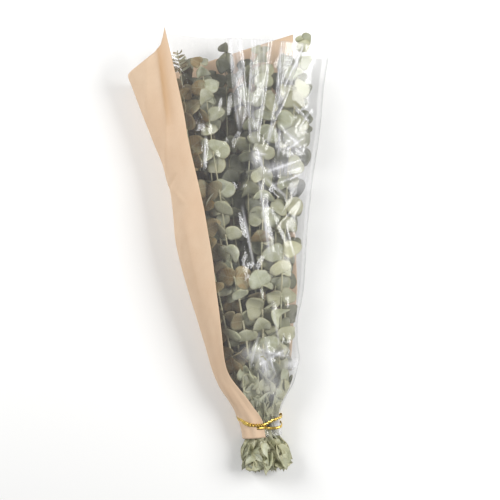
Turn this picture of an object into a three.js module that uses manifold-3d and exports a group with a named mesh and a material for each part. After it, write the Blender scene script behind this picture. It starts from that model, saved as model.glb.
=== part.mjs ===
// A bunch of dried eucalyptus, lying on its back: fourteen cut branches in a sleeve of kraft paper
// and clear film, gathered at the neck by a twist tie. Millimetres, +Z up, +Y from the tie to the
// tips. While it is built, Y = 0 is the tie and Z = 0 the surface that the bunch lies on; at the end
// the whole bunch is centred over the origin.
import * as THREE from "three";
import { mergeVertices } from "three/addons/utils/BufferGeometryUtils.js";
import Module from "manifold-3d";

const wasm = await Module();
wasm.setup();

// ---- Driving dimensions ----

// The branches
const tipReach = 568; // from the tie to the tip of the longest branch
const buttLength = 66; // of stem below the tie, on the longest branch
const neckWidth = 48; // of the branches together, at the tie
const neckDepth = 30;
const headWidth = 232; // of the branches together, at their tips
const headDepth = 84;
const headLean = 26; // how far the head leans to +X of the neck
const stemButtDiameter = 4.2;
const stemTipDiameter = 1.8;
const leafLength = 31;
const leafWidth = 29;
const leafThickness = 0.9;
const leafPairs = 11; // on each branch
const stemSway = 2.5; // sideways wander of a stem at the head
const tipStep = 0.012; // from one branch's tip down to the next one's, as a share of tipReach
const buttStep = 0.03; // and from one branch's cut end up to the next one's, of buttLength

// The sleeve
const paperThickness = 0.7;
const filmThickness = 0.5;
const skirtLength = 20; // of paper and film below the tie
const paperPeakPastTips = 26; // from the tips to the paper's highest corner
const paperWingBelowTips = 32; // from the tips down to the paper's corner on the left fold
const filmLeftPastTips = 20;
const filmRightBelowTips = 30;
const wingSlack = 63; // empty room in the paper's left fold, at the mouth
const filmSlack = 15; // empty room at the film's right edge, at the mouth
const headroom = 6; // between the highest leaves and the sleeve
const neckLift = 3.5; // of the neck off the surface, which the tie passes under
const seamLap = 16; // film lying inside the paper, along both seams

// The twist tie
const tieStripWidth = 4;
const tieThickness = 1.2;
const tailLength = 24; // of the two twisted ends
const tailSlant = -9; // degrees, falling towards +X

const gap = 0.35; // between pieces that touch

// ---- Finishes ----

const leafFinish = new THREE.MeshStandardMaterial({ color: 0x9ba58c, roughness: 0.75, metalness: 0 });
const paperFinish = new THREE.MeshStandardMaterial({ color: 0xdbbf9f, roughness: 0.85, metalness: 0 });
const filmFinish = new THREE.MeshStandardMaterial({ color: 0xf2f4f4, roughness: 0.1, metalness: 0 });
const tieFinish = new THREE.MeshStandardMaterial({ color: 0xd9b34a, roughness: 0.3, metalness: 1 });

// ---- Helpers ----

const clamp = THREE.MathUtils.clamp;
const lerp = THREE.MathUtils.lerp;

// A smooth curve through [station, value] pairs, straight past its ends.
function through(pairs, at) {
  const slope = (i) => {
    const a = pairs[Math.max(i - 1, 0)];
    const b = pairs[Math.min(i + 1, pairs.length - 1)];
    return (b[1] - a[1]) / (b[0] - a[0]);
  };
  const last = pairs.length - 1;
  if (at <= pairs[0][0]) return pairs[0][1] + slope(0) * (at - pairs[0][0]);
  if (at >= pairs[last][0]) return pairs[last][1] + slope(last) * (at - pairs[last][0]);
  const i = pairs.findIndex((pair) => pair[0] > at) - 1;
  const span = pairs[i + 1][0] - pairs[i][0];
  const t = (at - pairs[i][0]) / span;
  const [near, far] = [pairs[i][1], pairs[i + 1][1]];
  return (
    near * (1 + 2 * t) * (1 - t) ** 2 +
    far * t * t * (3 - 2 * t) +
    slope(i) * span * t * (1 - t) ** 2 -
    slope(i + 1) * span * t * t * (1 - t)
  );
}

// A geometry with each vertex moved to place(x, y, z), and only its positions kept.
function mapped(geometry, place) {
  const position = geometry.getAttribute("position").clone();
  for (let i = 0; i < position.count; i++) {
    const p = place(position.getX(i), position.getY(i), position.getZ(i));
    position.setXYZ(i, p.x, p.y, p.z);
  }
  const moved = new THREE.BufferGeometry().setAttribute("position", position);
  if (geometry.index) moved.setIndex(geometry.index.clone());
  return moved;
}

// A unit box whose two broad faces are split along the same diagonals, so that a sheet bent from it
// keeps its thickness.
function slab(across, lengthwise) {
  const box = new THREE.BoxGeometry(1, 1, 1, across, lengthwise, 1);
  const corners = box.index.array;
  const underside = box.groups[5];
  for (let i = underside.start; i < underside.start + underside.count; i += 6) {
    const [a, b, d, , c] = corners.slice(i, i + 6);
    corners.set([a, b, c, a, c, d], i);
  }
  return box;
}

function solidOf(geometry) {
  const bare = new THREE.BufferGeometry().setAttribute("position", geometry.getAttribute("position"));
  if (geometry.index) bare.setIndex(geometry.index);
  const merged = mergeVertices(bare, 1e-4);
  return new wasm.Manifold(
    new wasm.Mesh({
      numProp: 3,
      vertProperties: merged.attributes.position.array,
      triVerts: new Uint32Array(merged.index.array),
    }),
  );
}

function geometryOf(solid) {
  const mesh = solid.getMesh();
  return new THREE.BufferGeometry()
    .setAttribute("position", new THREE.BufferAttribute(mesh.vertProperties, mesh.numProp))
    .setIndex(new THREE.BufferAttribute(mesh.triVerts, 1));
}

// ---- The room that the branches fill ----

// Shares of the way from the neck's size to the head's, along the bunch in shares of tipReach.
const along = (y) => y / tipReach;
const spread = (y) =>
  through([[-0.12, 0.1], [0, 0], [0.11, 0.24], [0.23, 0.35], [0.53, 0.65], [0.95, 1]], along(y));
const fullness = (y) =>
  through([[-0.12, 0.08], [0, 0], [0.11, 0.3], [0.23, 0.56], [0.53, 0.9], [0.95, 1]], along(y));
const lean = (y) =>
  through([[-0.12, 0.05], [0, -0.1], [0.11, 0.08], [0.23, 0.15], [0.53, 0.2], [0.95, 1]], along(y));

const bedWidth = (y) => lerp(neckWidth, headWidth, spread(y));
const bedDepth = (y) => lerp(neckDepth, headDepth, fullness(y));
const bedMiddle = (y) => headLean * lean(y);

// The neck and the butts below it are held clear of the surface.
const floorLevel = (y) => neckLift * (1 - THREE.MathUtils.smoothstep(y, 12, 75));
const wallStack = paperThickness + filmThickness + 3 * gap;
const bedLevel = (y) => floorLevel(y) + wallStack + 1;

// The bed is lower at its sides than along its middle.
const sideDrop = 1.4;
const crown = (x, y) => {
  const share = (x - bedMiddle(y)) / bedWidth(y);
  return 1 - sideDrop * Math.min(share * share, 0.3);
};
const onBed = (x, y, height) => new THREE.Vector3(x, y, bedLevel(y) + height * crown(x, y));

// ---- The branches ----

// Four layers of branches from the surface up; each row gives its branches' places across the bed.
// The film has pushed the top row's branches a little apart.
const three = [-1 / 4, 0, 1 / 4];
const four = [-3 / 8, -1 / 8, 1 / 8, 3 / 8];
const topFour = [-0.4, -0.15, 0.11, 0.365];
const layers = [three, four, three, topFour];
const acrossCells = 4;
const cellHalfWidth = (y) => bedWidth(y) / acrossCells / 2;
const cellHalfDepth = (y) => bedDepth(y) / layers.length / 2;
const swayAt = (y) => stemSway * (bedWidth(y) / headWidth);

// The middle line of a branch's stem, before the crown lowers it.
function stemLine(branch, y) {
  const sway = swayAt(y) * Math.sin(y / 70 + branch.number * 2.1);
  return new THREE.Vector3(
    bedMiddle(y) + branch.place * bedWidth(y) + sway,
    y,
    (2 * branch.layer + 1) * cellHalfDepth(y),
  );
}

// The stem is a tapered rod of square section whose rings are closest together at the neck.
function stem(branch) {
  const rings = [branch.butt, -buttLength / 2, -8, 12, 38, 80, 150, 260, 400, branch.tip];
  const last = rings.length - 1;
  const rod = new THREE.CylinderGeometry(stemTipDiameter / 2, stemButtDiameter / 2, 1, 4, last);
  return mapped(rod, (x, y, z) => {
    const line = stemLine(branch, rings[Math.round((y + 0.5) * last)]);
    return onBed(line.x, line.y, line.z).add(new THREE.Vector3(x, 0, z));
  });
}

// A leaf is a blunt plate, widest near the base that it sits on the stem by.
function leafPlate(width, length) {
  const half = width / 2;
  const outline = new THREE.Shape([
    new THREE.Vector2(0, 0),
    new THREE.Vector2(half, length * 0.36),
    new THREE.Vector2(half * 0.55, length * 0.96),
    new THREE.Vector2(-half * 0.55, length * 0.96),
    new THREE.Vector2(-half, length * 0.36),
  ]);
  const plate = new THREE.ExtrudeGeometry(outline, { depth: leafThickness, bevelEnabled: false });
  return plate.translate(0, 0, -leafThickness / 2);
}

// One leaf, from the stem's middle line outwards. side is 1 or -1. A flank leaf points to the side
// of the bed, a face leaf to its top or underside, and both lie close to the stem as pressed leaves do.
function leaf(branch, y, side, onFlank, size) {
  const length = leafLength * size;
  const narrowest = clamp(0, y, y + length); // the neck, for a leaf that passes it
  const least = (room) => Math.min(room(y), room(narrowest), room(y + length));
  const roomAcross = least(cellHalfWidth) * 0.94 - swayAt(y);
  const roomDeep = least(cellHalfDepth) * 0.85 - gap / 2 - leafThickness / 2;
  const base = stemLine(branch, y);
  const upStem = stemLine(branch, y + length).sub(base).normalize();
  let pointing, faceUp, width;
  if (onFlank) {
    const roll = side * THREE.MathUtils.degToRad(28);
    const outward = clamp((0.45 * roomAcross) / (length / 2), 0.05, 0.75);
    width = Math.min(
      leafWidth * size,
      (2 * (roomAcross - (outward * length) / 2)) / Math.cos(roll),
      (2 * roomDeep) / Math.abs(Math.sin(roll)),
    );
    pointing = new THREE.Vector3(side * outward, Math.sqrt(1 - outward * outward), 0);
    faceUp = new THREE.Vector3(0, 0, 1).applyAxisAngle(pointing, roll);
  } else {
    const rise = clamp(roomDeep / length, 0.02, 0.5);
    width = Math.min(leafWidth * size, 2 * roomAcross);
    pointing = new THREE.Vector3(0, Math.sqrt(1 - rise * rise), side * rise);
    faceUp = new THREE.Vector3(0, -side * rise, Math.sqrt(1 - rise * rise));
  }
  const toStem = new THREE.Quaternion().setFromUnitVectors(new THREE.Vector3(0, 1, 0), upStem);
  pointing.applyQuaternion(toStem);
  faceUp.applyQuaternion(toStem);
  const place = new THREE.Matrix4()
    .makeBasis(pointing.clone().cross(faceUp), pointing, faceUp)
    .setPosition(base);
  return mapped(leafPlate(width, length).applyMatrix4(place), onBed);
}

// Leaves are largest along the middle of a branch and smallest at its growing tip.
const leafSize = (share) => through([[0, 0.72], [0.25, 1], [0.7, 1], [1, 0.5]], share);

function branchSolid(branch) {
  let whole = solidOf(stem(branch));
  for (let pair = 0; pair < leafPairs; pair++) {
    const share = pair / (leafPairs - 1);
    const size = leafSize(share);
    const first = branch.butt + 5;
    const last = branch.tip - leafLength * size * 0.8;
    const y = lerp(first, last, share ** 0.93);
    for (const side of [-1, 1]) {
      whole = whole.add(solidOf(leaf(branch, y, side, (pair + branch.number) % 2 === 0, size)));
    }
  }
  return geometryOf(whole.asOriginal().simplify(0.1));
}

// The tips and cut ends lie at nine and seven different heights, the highest tip on the last branch.
function branches() {
  const count = layers.flat().length;
  const found = [];
  layers.forEach((row, layer) =>
    row.forEach((place) => {
      const number = found.length + 1;
      found.push({
        number,
        layer,
        place,
        tip: tipReach * (1 - tipStep * ((count - number) % 9)),
        butt: -buttLength * (1 - buttStep * ((number * 4) % 7)),
      });
    }),
  );
  return found;
}

// ---- The sleeve ----

// The sleeve's outer skin is a rounded section that is pressed flat against the surface below.
const leftFullness = [
  [-0.04, 0.07], [0, 0.1], [0.05, 0.12], [0.11, 0.24], [0.2, 0.34], [0.3, 0.38], [0.45, 0.41],
  [0.6, 0.35], [0.69, 0.38], [0.78, 0.58], [0.95, 0.965],
];
const rightFullness = [
  [-0.04, 0.2], [0, 0.3], [0.05, 0.13], [0.11, 0.4], [0.17, 0.48], [0.25, 0.18], [0.35, 0.58],
  [0.6, 0.51], [0.77, 0.62], [0.86, 0.42], [0.95, 0.52],
];
const leftSlack = (y) => wingSlack * through(leftFullness, along(y));
const rightSlack = (y) => filmSlack * through(rightFullness, along(y));
const leftEdge = (y) => bedMiddle(y) - bedWidth(y) / 2 - leftSlack(y) - wallStack;
const rightEdge = (y) => bedMiddle(y) + bedWidth(y) / 2 + rightSlack(y) + wallStack;
const topLevel = (y) => bedLevel(y) + bedDepth(y) + headroom + wallStack;

const squareness = 3; // the section's power: 2 is an ellipse, and more is squarer
const pressedShare = 0.33; // of the height, that the surface presses flat
const rounded = (c) => Math.sign(c) * Math.abs(c) ** (2 / squareness);

// Towards the mouth the paper is creased along the left and slopes away beyond the crease as a wing.
// A share of the half width is squeezed in up to the crease, and stretched beyond it.
const creaseShare = 0.78;
const squeezeAtMouth = 0.155;
const squeeze = (y) => 1 - squeezeAtMouth * THREE.MathUtils.smoothstep(along(y), 0.6, 0.97);
const stretch = (y) => (1 - creaseShare * squeeze(y)) / (1 - creaseShare);
const winged = (share, y) =>
  share < -creaseShare ? (share + 1) * stretch(y) - 1 : share < 0 ? share * squeeze(y) : share;
const unwinged = (share, y) =>
  share < -creaseShare * squeeze(y) ? (share + 1) / stretch(y) - 1 : share < 0 ? share / squeeze(y) : share;

// A point on the section at y, inset from the skin. turn runs from 0 at the right edge over the top.
// The waist under the tie is straight for a little more than the strip's width.
const waist = tieStripWidth * 0.75;
function sleeve(y, turn, inset) {
  const station = Math.sign(y) * Math.max(Math.abs(y) - waist, 0);
  const halfWidth = (rightEdge(station) - leftEdge(station)) / 2 - inset;
  const height = topLevel(station) - floorLevel(station);
  const halfHeight = (height * (1 + pressedShare)) / 2 - inset;
  const middle = floorLevel(station) + (height * (1 - pressedShare)) / 2;
  return new THREE.Vector3(
    (rightEdge(station) + leftEdge(station)) / 2 + halfWidth * winged(rounded(Math.cos(turn)), station),
    y,
    Math.max(middle + halfHeight * rounded(Math.sin(turn)), floorLevel(station) + inset),
  );
}

// The turn at which the section passes x, over the top (0 to pi).
function turnAt(x, y) {
  const middle = (rightEdge(y) + leftEdge(y)) / 2;
  const share = unwinged(clamp((x - middle) / (rightEdge(y) - middle), -1, 1), y);
  return Math.acos(Math.sign(share) * Math.abs(share) ** (squareness / 2));
}

// The paper's two cut edges run nearly straight: one over the branches, on the left, and one under
// them, on the right. Each is given along the bunch as a share of the section's half width.
const frontEdgeShares = [
  [-0.035, 0.165], [0.01, 0.1], [0.033, -0.08], [0.053, -0.24], [0.106, -0.51], [0.141, -0.634],
  [0.176, -0.65], [0.25, -0.57], [0.35, -0.52], [0.45, -0.475], [0.55, -0.51], [0.7, -0.595],
  [0.85, -0.54], [1.04, -0.545],
];
const backEdgeShares = [
  [-0.035, 0.49], [0, 0.64], [0.035, 0.7], [0.16, 0.82], [0.25, 0.91], [0.43, 0.84], [0.75, 0.69],
  [1.04, 0.63],
];
function edgeAt(shares, y) {
  const middle = (rightEdge(y) + leftEdge(y)) / 2;
  return middle + (rightEdge(y) - middle) * through(shares, along(y));
}
const frontEdge = (y) => edgeAt(frontEdgeShares, y);
const backEdge = (y) => edgeAt(backEdgeShares, y);

// Folds divide the sleeve round its section, at the same places on paper and film: fold 0 is the
// film's hidden edge under the paper's front edge (fold 1), and from there they run over the right
// side to the paper's back edge and the film's hidden edge inside it, then under and up the left side.
const filmFolds = 14;
const paperFolds = 15;
const paperBackFold = 1 + filmFolds;
const filmBackFold = paperBackFold + 1;
const wholeTurn = filmBackFold + paperFolds;
function turnOfFold(fold, y) {
  const hidden = turnAt(frontEdge(y) - seamLap, y);
  const bends = [
    [0, hidden],
    [1, turnAt(frontEdge(y), y)],
    [paperBackFold, -turnAt(backEdge(y), y)],
    [filmBackFold, -turnAt(backEdge(y) - seamLap, y)],
    [wholeTurn, hidden - 2 * Math.PI],
    [wholeTurn + 1, turnAt(frontEdge(y), y) - 2 * Math.PI],
  ];
  const i = Math.max(bends.findIndex((bend) => bend[0] >= fold), 1);
  const [near, far] = [bends[i - 1], bends[i]];
  return lerp(near[1], far[1], (fold - near[0]) / (far[0] - near[0]));
}

// The sheets' rows below their top edges, closest together where the neck flares.
const upperRows = [0.015, 0.03, 0.055, 0.09, 0.14, 0.19, 0.25, 0.35, 0.49, 0.6, 0.7, 0.8, 0.87].map(
  (share) => share * tipReach,
);
const rows = [-skirtLength, -skirtLength / 2, -waist, waist, ...upperRows];

// A sheet on the sleeve: a box whose X runs round the section, Y along it and Z through the sheet.
function sheet({ firstFold, lastFold, top, outside, thickness }) {
  return mapped(slab(lastFold - firstFold, rows.length), (x, y, z) => {
    const share = x + 0.5;
    const row = Math.round((y + 0.5) * rows.length);
    const height = row < rows.length ? rows[row] : top(share);
    const turn = turnOfFold(Math.round(lerp(firstFold, lastFold, share)), height);
    return sleeve(height, turn, outside + (0.5 - z) * thickness);
  });
}

// The paper runs from its edge under the branches, round the left side, to its edge over them.
const paperPeak = tipReach + paperPeakPastTips;
const paperWing = tipReach - paperWingBelowTips;
const paper = sheet({
  firstFold: paperBackFold,
  lastFold: wholeTurn + 1,
  top: (share) => through([[0, paperPeak - 11], [0.6, paperWing], [1, paperPeak]], share),
  outside: 0,
  thickness: paperThickness,
});

// The film runs from under the paper's front edge, round the right side, to lie on the paper's back.
const filmLeft = tipReach + filmLeftPastTips;
const filmRight = tipReach - filmRightBelowTips;
const film = sheet({
  firstFold: 0,
  lastFold: filmBackFold,
  top: (share) => through([[0, filmLeft], [0.6, filmRight], [1, filmRight + 10]], share),
  outside: paperThickness + gap,
  thickness: filmThickness,
});

// ---- The twist tie ----

// The strip goes twice round the neck, outside the sleeve. How far up the sleeve each round is, by the
// share of the way round from the front's middle over the right edge: the two part at the right and
// run together at the left and across the front.
const upperRound = [[0, -2], [0.07, 4], [0.25, 7.5], [0.5, 8], [0.75, 8.5], [0.9, 2], [1, -2]];
const lowerRound = [[0, -2], [0.07, -5], [0.25, -7], [0.5, 1], [0.75, 7.5], [0.9, 1], [1, -2]];

// One round: a torus with a square tube, laid on the section.
function tieRound(course, lift) {
  const ring = new THREE.TorusGeometry(1, 0.5, 4, wholeTurn).rotateX(Math.PI / 2);
  return mapped(ring, (x, y, z) => {
    const [outward, aside] = [2 * (Math.hypot(x, z) - 1), 2 * y];
    const fold = Math.round((-Math.atan2(z, x) / (2 * Math.PI)) * wholeTurn);
    const place = THREE.MathUtils.euclideanModulo(fold, wholeTurn);
    const way = THREE.MathUtils.euclideanModulo(0.25 - turnOfFold(place, 0) / (2 * Math.PI), 1);
    const height = through(course, way) + ((outward + aside) * tieStripWidth) / 2;
    return sleeve(height, turnOfFold(place, height), -lift - (tieThickness * (1 + outward - aside)) / 2);
  });
}

// The two twisted ends, side by side, lying across the front of the neck.
function tieTail() {
  const start = sleeve(0, Math.PI / 2, -gap);
  const tail = new THREE.CapsuleGeometry(tieThickness, tailLength - 2 * tieThickness, 3, 8);
  tail.rotateZ(Math.PI / 2 + THREE.MathUtils.degToRad(tailSlant));
  return tail.translate(start.x - tailLength / 3, 0, start.z + tieThickness * 1.2);
}

function twistTie() {
  const rounds = solidOf(tieRound(upperRound, gap)).add(solidOf(tieRound(lowerRound, gap * 1.4)));
  return geometryOf(rounds.add(solidOf(tieTail())).asOriginal().simplify(0.02));
}

// ---- Assembly ----

const bunch = new THREE.Group();

function add(name, geometry, finish) {
  const mesh = new THREE.Mesh(geometry, finish);
  mesh.name = name;
  bunch.add(mesh);
}

for (const branch of branches()) {
  add(`branch_${String(branch.number).padStart(2, "0")}`, branchSolid(branch), leafFinish);
}
add("kraft_paper", paper, paperFinish);
add("clear_film", film, filmFinish);
add("twist_tie", twistTie(), tieFinish);

// Centred over the origin, with its lowest point at Z = 0.
const extent = new THREE.Box3().setFromObject(bunch);
const centre = extent.getCenter(new THREE.Vector3());
bunch.position.set(-centre.x, -centre.y, -extent.min.z);

export default bunch;
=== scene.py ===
"""Looks of a bunch of dried eucalyptus, lying on its back in a sleeve of kraft paper and clear film.

The bunch's form is worked out in its own millimetres: Y = 0 is the tie and +Y runs to the branch tips,
X = 0 is the middle of the neck, and Z = 0 is the surface that the bunch lies on. in_place() turns them
into the frame's metres, from where the frame has the tie and the paper.
"""

import math
import random

import bmesh
import bpy
import numpy as np
from mathutils import Matrix, Vector


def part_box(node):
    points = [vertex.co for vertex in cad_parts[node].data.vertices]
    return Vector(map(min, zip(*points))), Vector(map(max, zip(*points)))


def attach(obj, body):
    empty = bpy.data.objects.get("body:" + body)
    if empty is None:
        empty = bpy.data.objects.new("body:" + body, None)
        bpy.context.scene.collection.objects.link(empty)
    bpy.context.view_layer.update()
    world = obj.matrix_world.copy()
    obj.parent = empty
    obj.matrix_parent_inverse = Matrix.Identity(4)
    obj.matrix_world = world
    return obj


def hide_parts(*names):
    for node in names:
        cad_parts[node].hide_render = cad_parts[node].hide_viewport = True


# ---- Sizes, in millimetres ----

TIP_REACH = 568.0  # from the tie to the tip of the longest branch
BUTT_LENGTH = 66.0  # of stem below the tie, on the longest branch
NECK_WIDTH = 48.0  # of the branches together, at the tie
NECK_DEPTH = 30.0
HEAD_WIDTH = 232.0  # of the branches together, at their tips
HEAD_DEPTH = 84.0
HEAD_LEAN = 26.0  # how far the head leans to +X of the neck
STEM_BUTT_RADIUS = 1.9
STEM_TIP_RADIUS = 0.7
LEAF_LENGTH = 26.0
LEAF_WIDTH = 32.0
LEAF_THICKNESS = 0.35
PAIR_SPACING = 26.0  # between one pair of leaves and the next
TOP_PAIR_SPACING = 31.0  # the same, on the branches right under the film

WALL_STACK = 2.25  # paper, film and the gaps between them
PAPER_THICKNESS = 0.4
FILM_THICKNESS = 0.12
FILM_INSET = 1.1  # of the film's outside from the paper's
SKIRT_LENGTH = 20.0  # of paper and film below the tie
WING_SLACK = 63.0  # empty room in the paper's left fold, at the mouth
FILM_SLACK = 15.0
HEADROOM = 6.0  # between the highest leaves and the sleeve
NECK_LIFT = 3.5  # of the neck off the surface
SEAM_LAP = 16.0  # film lying inside the paper, along both seams
SECTION_POWER = 3.0  # of the sleeve's rounded section: 2 is an ellipse, and more is squarer
PRESSED_SHARE = 0.33  # of the section's height, that the surface presses flat
CREASE_SHARE = 0.78  # of the half width, out to the paper's crease on the left
SQUEEZE_AT_MOUTH = 0.155  # of the paper inside that crease, which widens the wing outside it

TIE_WIDTH = 4.0
TIE_THICKNESS = 0.35

# ---- Curves that the sizes follow ----


def through(pairs, at):
    """A smooth curve through [station, value] pairs, straight past its ends. at may be an array."""
    stations, values = np.array(pairs, float).T
    at = np.asarray(at, float)
    inner = (values[2:] - values[:-2]) / (stations[2:] - stations[:-2])
    ends = np.diff(values) / np.diff(stations)
    slopes = np.concatenate([ends[:1], inner, ends[-1:]])
    i = np.clip(np.searchsorted(stations, at, side="right") - 1, 0, len(stations) - 2)
    span = stations[i + 1] - stations[i]
    t = (at - stations[i]) / span
    curve = (
        values[i] * (1 + 2 * t) * (1 - t) ** 2
        + values[i + 1] * t * t * (3 - 2 * t)
        + slopes[i] * span * t * (1 - t) ** 2
        - slopes[i + 1] * span * t * t * (1 - t)
    )
    below = values[0] + slopes[0] * (at - stations[0])
    above = values[-1] + slopes[-1] * (at - stations[-1])
    return np.where(t < 0, below, np.where(t > 1, above, curve))


def smoothstep(x, low, high):
    t = np.clip((np.asarray(x, float) - low) / (high - low), 0, 1)
    return t * t * (3 - 2 * t)


def lerp(a, b, t):
    return a + (b - a) * t


# Shares of the way from the neck's size to the head's, along the bunch in shares of TIP_REACH.
SPREAD = [(-0.12, 0.1), (0, 0), (0.11, 0.24), (0.23, 0.35), (0.53, 0.65), (0.95, 1)]
FULLNESS = [(-0.12, 0.08), (0, 0), (0.11, 0.3), (0.23, 0.56), (0.53, 0.9), (0.95, 1)]
LEAN = [(-0.12, 0.05), (0, -0.1), (0.11, 0.08), (0.23, 0.15), (0.53, 0.2), (0.95, 1)]
LEFT_FULLNESS = [
    (-0.04, 0.07), (0, 0.1), (0.05, 0.12), (0.11, 0.24), (0.2, 0.34), (0.3, 0.38), (0.45, 0.41),
    (0.6, 0.35), (0.69, 0.38), (0.78, 0.58), (0.95, 0.965),
]
RIGHT_FULLNESS = [
    (-0.04, 0.2), (0, 0.3), (0.05, 0.13), (0.11, 0.4), (0.17, 0.48), (0.25, 0.18), (0.35, 0.58),
    (0.6, 0.51), (0.77, 0.62), (0.86, 0.42), (0.95, 0.52),
]

# The paper's two cut edges, as shares of the section's half width.
FRONT_EDGE = [
    (-0.035, 0.165), (0.01, 0.1), (0.033, -0.08), (0.053, -0.24), (0.106, -0.51), (0.141, -0.634),
    (0.176, -0.65), (0.25, -0.57), (0.35, -0.52), (0.45, -0.475), (0.55, -0.51), (0.7, -0.595),
    (0.85, -0.535), (1.04, -0.51),
]
BACK_EDGE = [
    (-0.035, 0.49), (0, 0.64), (0.035, 0.7), (0.16, 0.82), (0.25, 0.91), (0.43, 0.84), (0.75, 0.69),
    (1.04, 0.63),
]


def bed_width(y):
    return lerp(NECK_WIDTH, HEAD_WIDTH, through(SPREAD, y / TIP_REACH))


def bed_depth(y):
    return lerp(NECK_DEPTH, HEAD_DEPTH, through(FULLNESS, y / TIP_REACH))


def bed_middle(y):
    return HEAD_LEAN * through(LEAN, y / TIP_REACH)


def floor_level(y):
    return NECK_LIFT * (1 - smoothstep(y, 12, 75))


def bed_level(y):
    return floor_level(y) + WALL_STACK + 1


def left_edge(y):
    slack = WING_SLACK * through(LEFT_FULLNESS, y / TIP_REACH)
    return bed_middle(y) - bed_width(y) / 2 - slack - WALL_STACK


def right_edge(y):
    slack = FILM_SLACK * through(RIGHT_FULLNESS, y / TIP_REACH)
    return bed_middle(y) + bed_width(y) / 2 + slack + WALL_STACK


def centre_line(y):
    return (right_edge(y) + left_edge(y)) / 2


def top_level(y):
    return bed_level(y) + bed_depth(y) + HEADROOM + WALL_STACK


def squeeze(y):
    return 1 - SQUEEZE_AT_MOUTH * smoothstep(y / TIP_REACH, 0.6, 0.97)


def winged(share, y):
    """A share of the half width, squeezed in up to the crease on the left and stretched beyond it."""
    stretch = (1 - CREASE_SHARE * squeeze(y)) / (1 - CREASE_SHARE)
    inner = np.where(share < 0, share * squeeze(y), share)
    return np.where(share < -CREASE_SHARE, (share + 1) * stretch - 1, inner)


def unwinged(share, y):
    stretch = (1 - CREASE_SHARE * squeeze(y)) / (1 - CREASE_SHARE)
    inner = np.where(share < 0, share / squeeze(y), share)
    return np.where(share < -CREASE_SHARE * squeeze(y), (share + 1) / stretch - 1, inner)


def sleeve(y, turn, inset):
    """X and Z of the sleeve's section at y. turn runs from 0 at the right edge over the top."""

    def rounded(c):
        return np.sign(c) * np.abs(c) ** (2 / SECTION_POWER)

    height = top_level(y) - floor_level(y)
    half_width = (right_edge(y) - left_edge(y)) / 2 - inset
    half_height = height * (1 + PRESSED_SHARE) / 2 - inset
    middle = floor_level(y) + height * (1 - PRESSED_SHARE) / 2
    x = centre_line(y) + half_width * winged(rounded(np.cos(turn)), y)
    z = middle + half_height * rounded(np.sin(turn))
    return x, np.maximum(z, floor_level(y) + inset)


def share_across(x, y):
    """Where x is in the section before the wing is pulled out: -1 at the left edge, 1 at the right."""
    half_width = right_edge(y) - centre_line(y)
    return unwinged(np.clip((x - centre_line(y)) / half_width, -1, 1), y)


def turn_at(x, y):
    """The turn at which the section passes x, over the top."""
    share = share_across(x, y)
    return np.arccos(np.sign(share) * np.abs(share) ** (SECTION_POWER / 2))


def edge_at(shares, y):
    """X of a cut edge at y."""
    return lerp(centre_line(y), right_edge(y), through(shares, y / TIP_REACH))


def roof(x, y):
    """The height of the sleeve's inside over x."""
    height = top_level(y) - floor_level(y)
    rise = (1 - np.abs(share_across(x, y)) ** SECTION_POWER) ** (1 / SECTION_POWER)
    return floor_level(y) + height * ((1 - PRESSED_SHARE) + (1 + PRESSED_SHARE) * rise) / 2 - WALL_STACK


# ---- The frame ----

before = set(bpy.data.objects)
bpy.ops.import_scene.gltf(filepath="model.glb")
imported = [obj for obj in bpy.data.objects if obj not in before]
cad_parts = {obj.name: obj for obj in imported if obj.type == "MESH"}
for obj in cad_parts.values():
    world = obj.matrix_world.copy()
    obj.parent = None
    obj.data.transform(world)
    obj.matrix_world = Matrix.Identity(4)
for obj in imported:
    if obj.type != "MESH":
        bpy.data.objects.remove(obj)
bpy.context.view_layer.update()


def neck_in_frame():
    """Where the frame has the middle of the neck on the surface below."""
    tie_low, tie_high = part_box("twist_tie")
    paper_low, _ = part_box("kraft_paper")
    return Vector((
        (tie_low.x + tie_high.x) / 2 - float(centre_line(0)) / 1000,
        paper_low.y + SKIRT_LENGTH / 1000,
        0,
    ))


NECK = neck_in_frame()


def in_place(x, y, z):
    """An array of points in the frame's metres."""
    points = np.stack(np.broadcast_arrays(x, y, z), axis=-1) / 1000
    return points + np.array(NECK)


# ---- Camera ----

VIEW_HEIGHT = 2.2  # of the camera over the bunch, in metres
VIEW_WIDTH = 0.75  # of what it sees at the bunch's middle height
MIDDLE_HEIGHT = 0.04
AXIS_TILT = math.radians(5.5)  # of the bunch's axis, leaning left in the view
AIM = (5.6, 261.7)  # the point of the bunch under the camera, in millimetres
SENSOR = 36  # millimetres, across


def set_camera():
    camera = bpy.data.objects.new("camera", bpy.data.cameras.new("camera"))
    bpy.context.scene.collection.objects.link(camera)
    camera.data.sensor_width = SENSOR
    camera.data.lens = SENSOR * VIEW_HEIGHT / VIEW_WIDTH
    camera.location = in_place(*AIM, (MIDDLE_HEIGHT + VIEW_HEIGHT) * 1000)
    camera.rotation_euler = (0, 0, -AXIS_TILT)
    bpy.context.scene.camera = camera


set_camera()

# ---- Materials ----


def colour(hex_value):
    """An sRGB hex colour as linear RGBA."""
    channels = [int(hex_value[i : i + 2], 16) / 255 for i in (1, 3, 5)]
    linear = [c / 12.92 if c <= 0.04045 else ((c + 0.055) / 1.055) ** 2.4 for c in channels]
    return (*linear, 1.0)


def add(tree, kind, inputs=None, **settings):
    """A node of that kind, with its settings, and with a value or a link for each named input."""
    node = tree.nodes.new("ShaderNode" + kind)
    for name, value in settings.items():
        setattr(node, name, value)
    for name, value in (inputs or {}).items():
        if isinstance(value, bpy.types.NodeSocket):
            tree.links.new(value, node.inputs[name])
        else:
            node.inputs[name].default_value = value
    return node


def blank_material(name):
    material = bpy.data.materials.new(name)
    material.use_nodes = True
    material.node_tree.nodes.clear()
    return material, material.node_tree


def worked(tree, operation, *values):
    """The socket of that operation on numbers and sockets."""
    return add(tree, "Math", dict(enumerate(values)), operation=operation).outputs[0]


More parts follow.
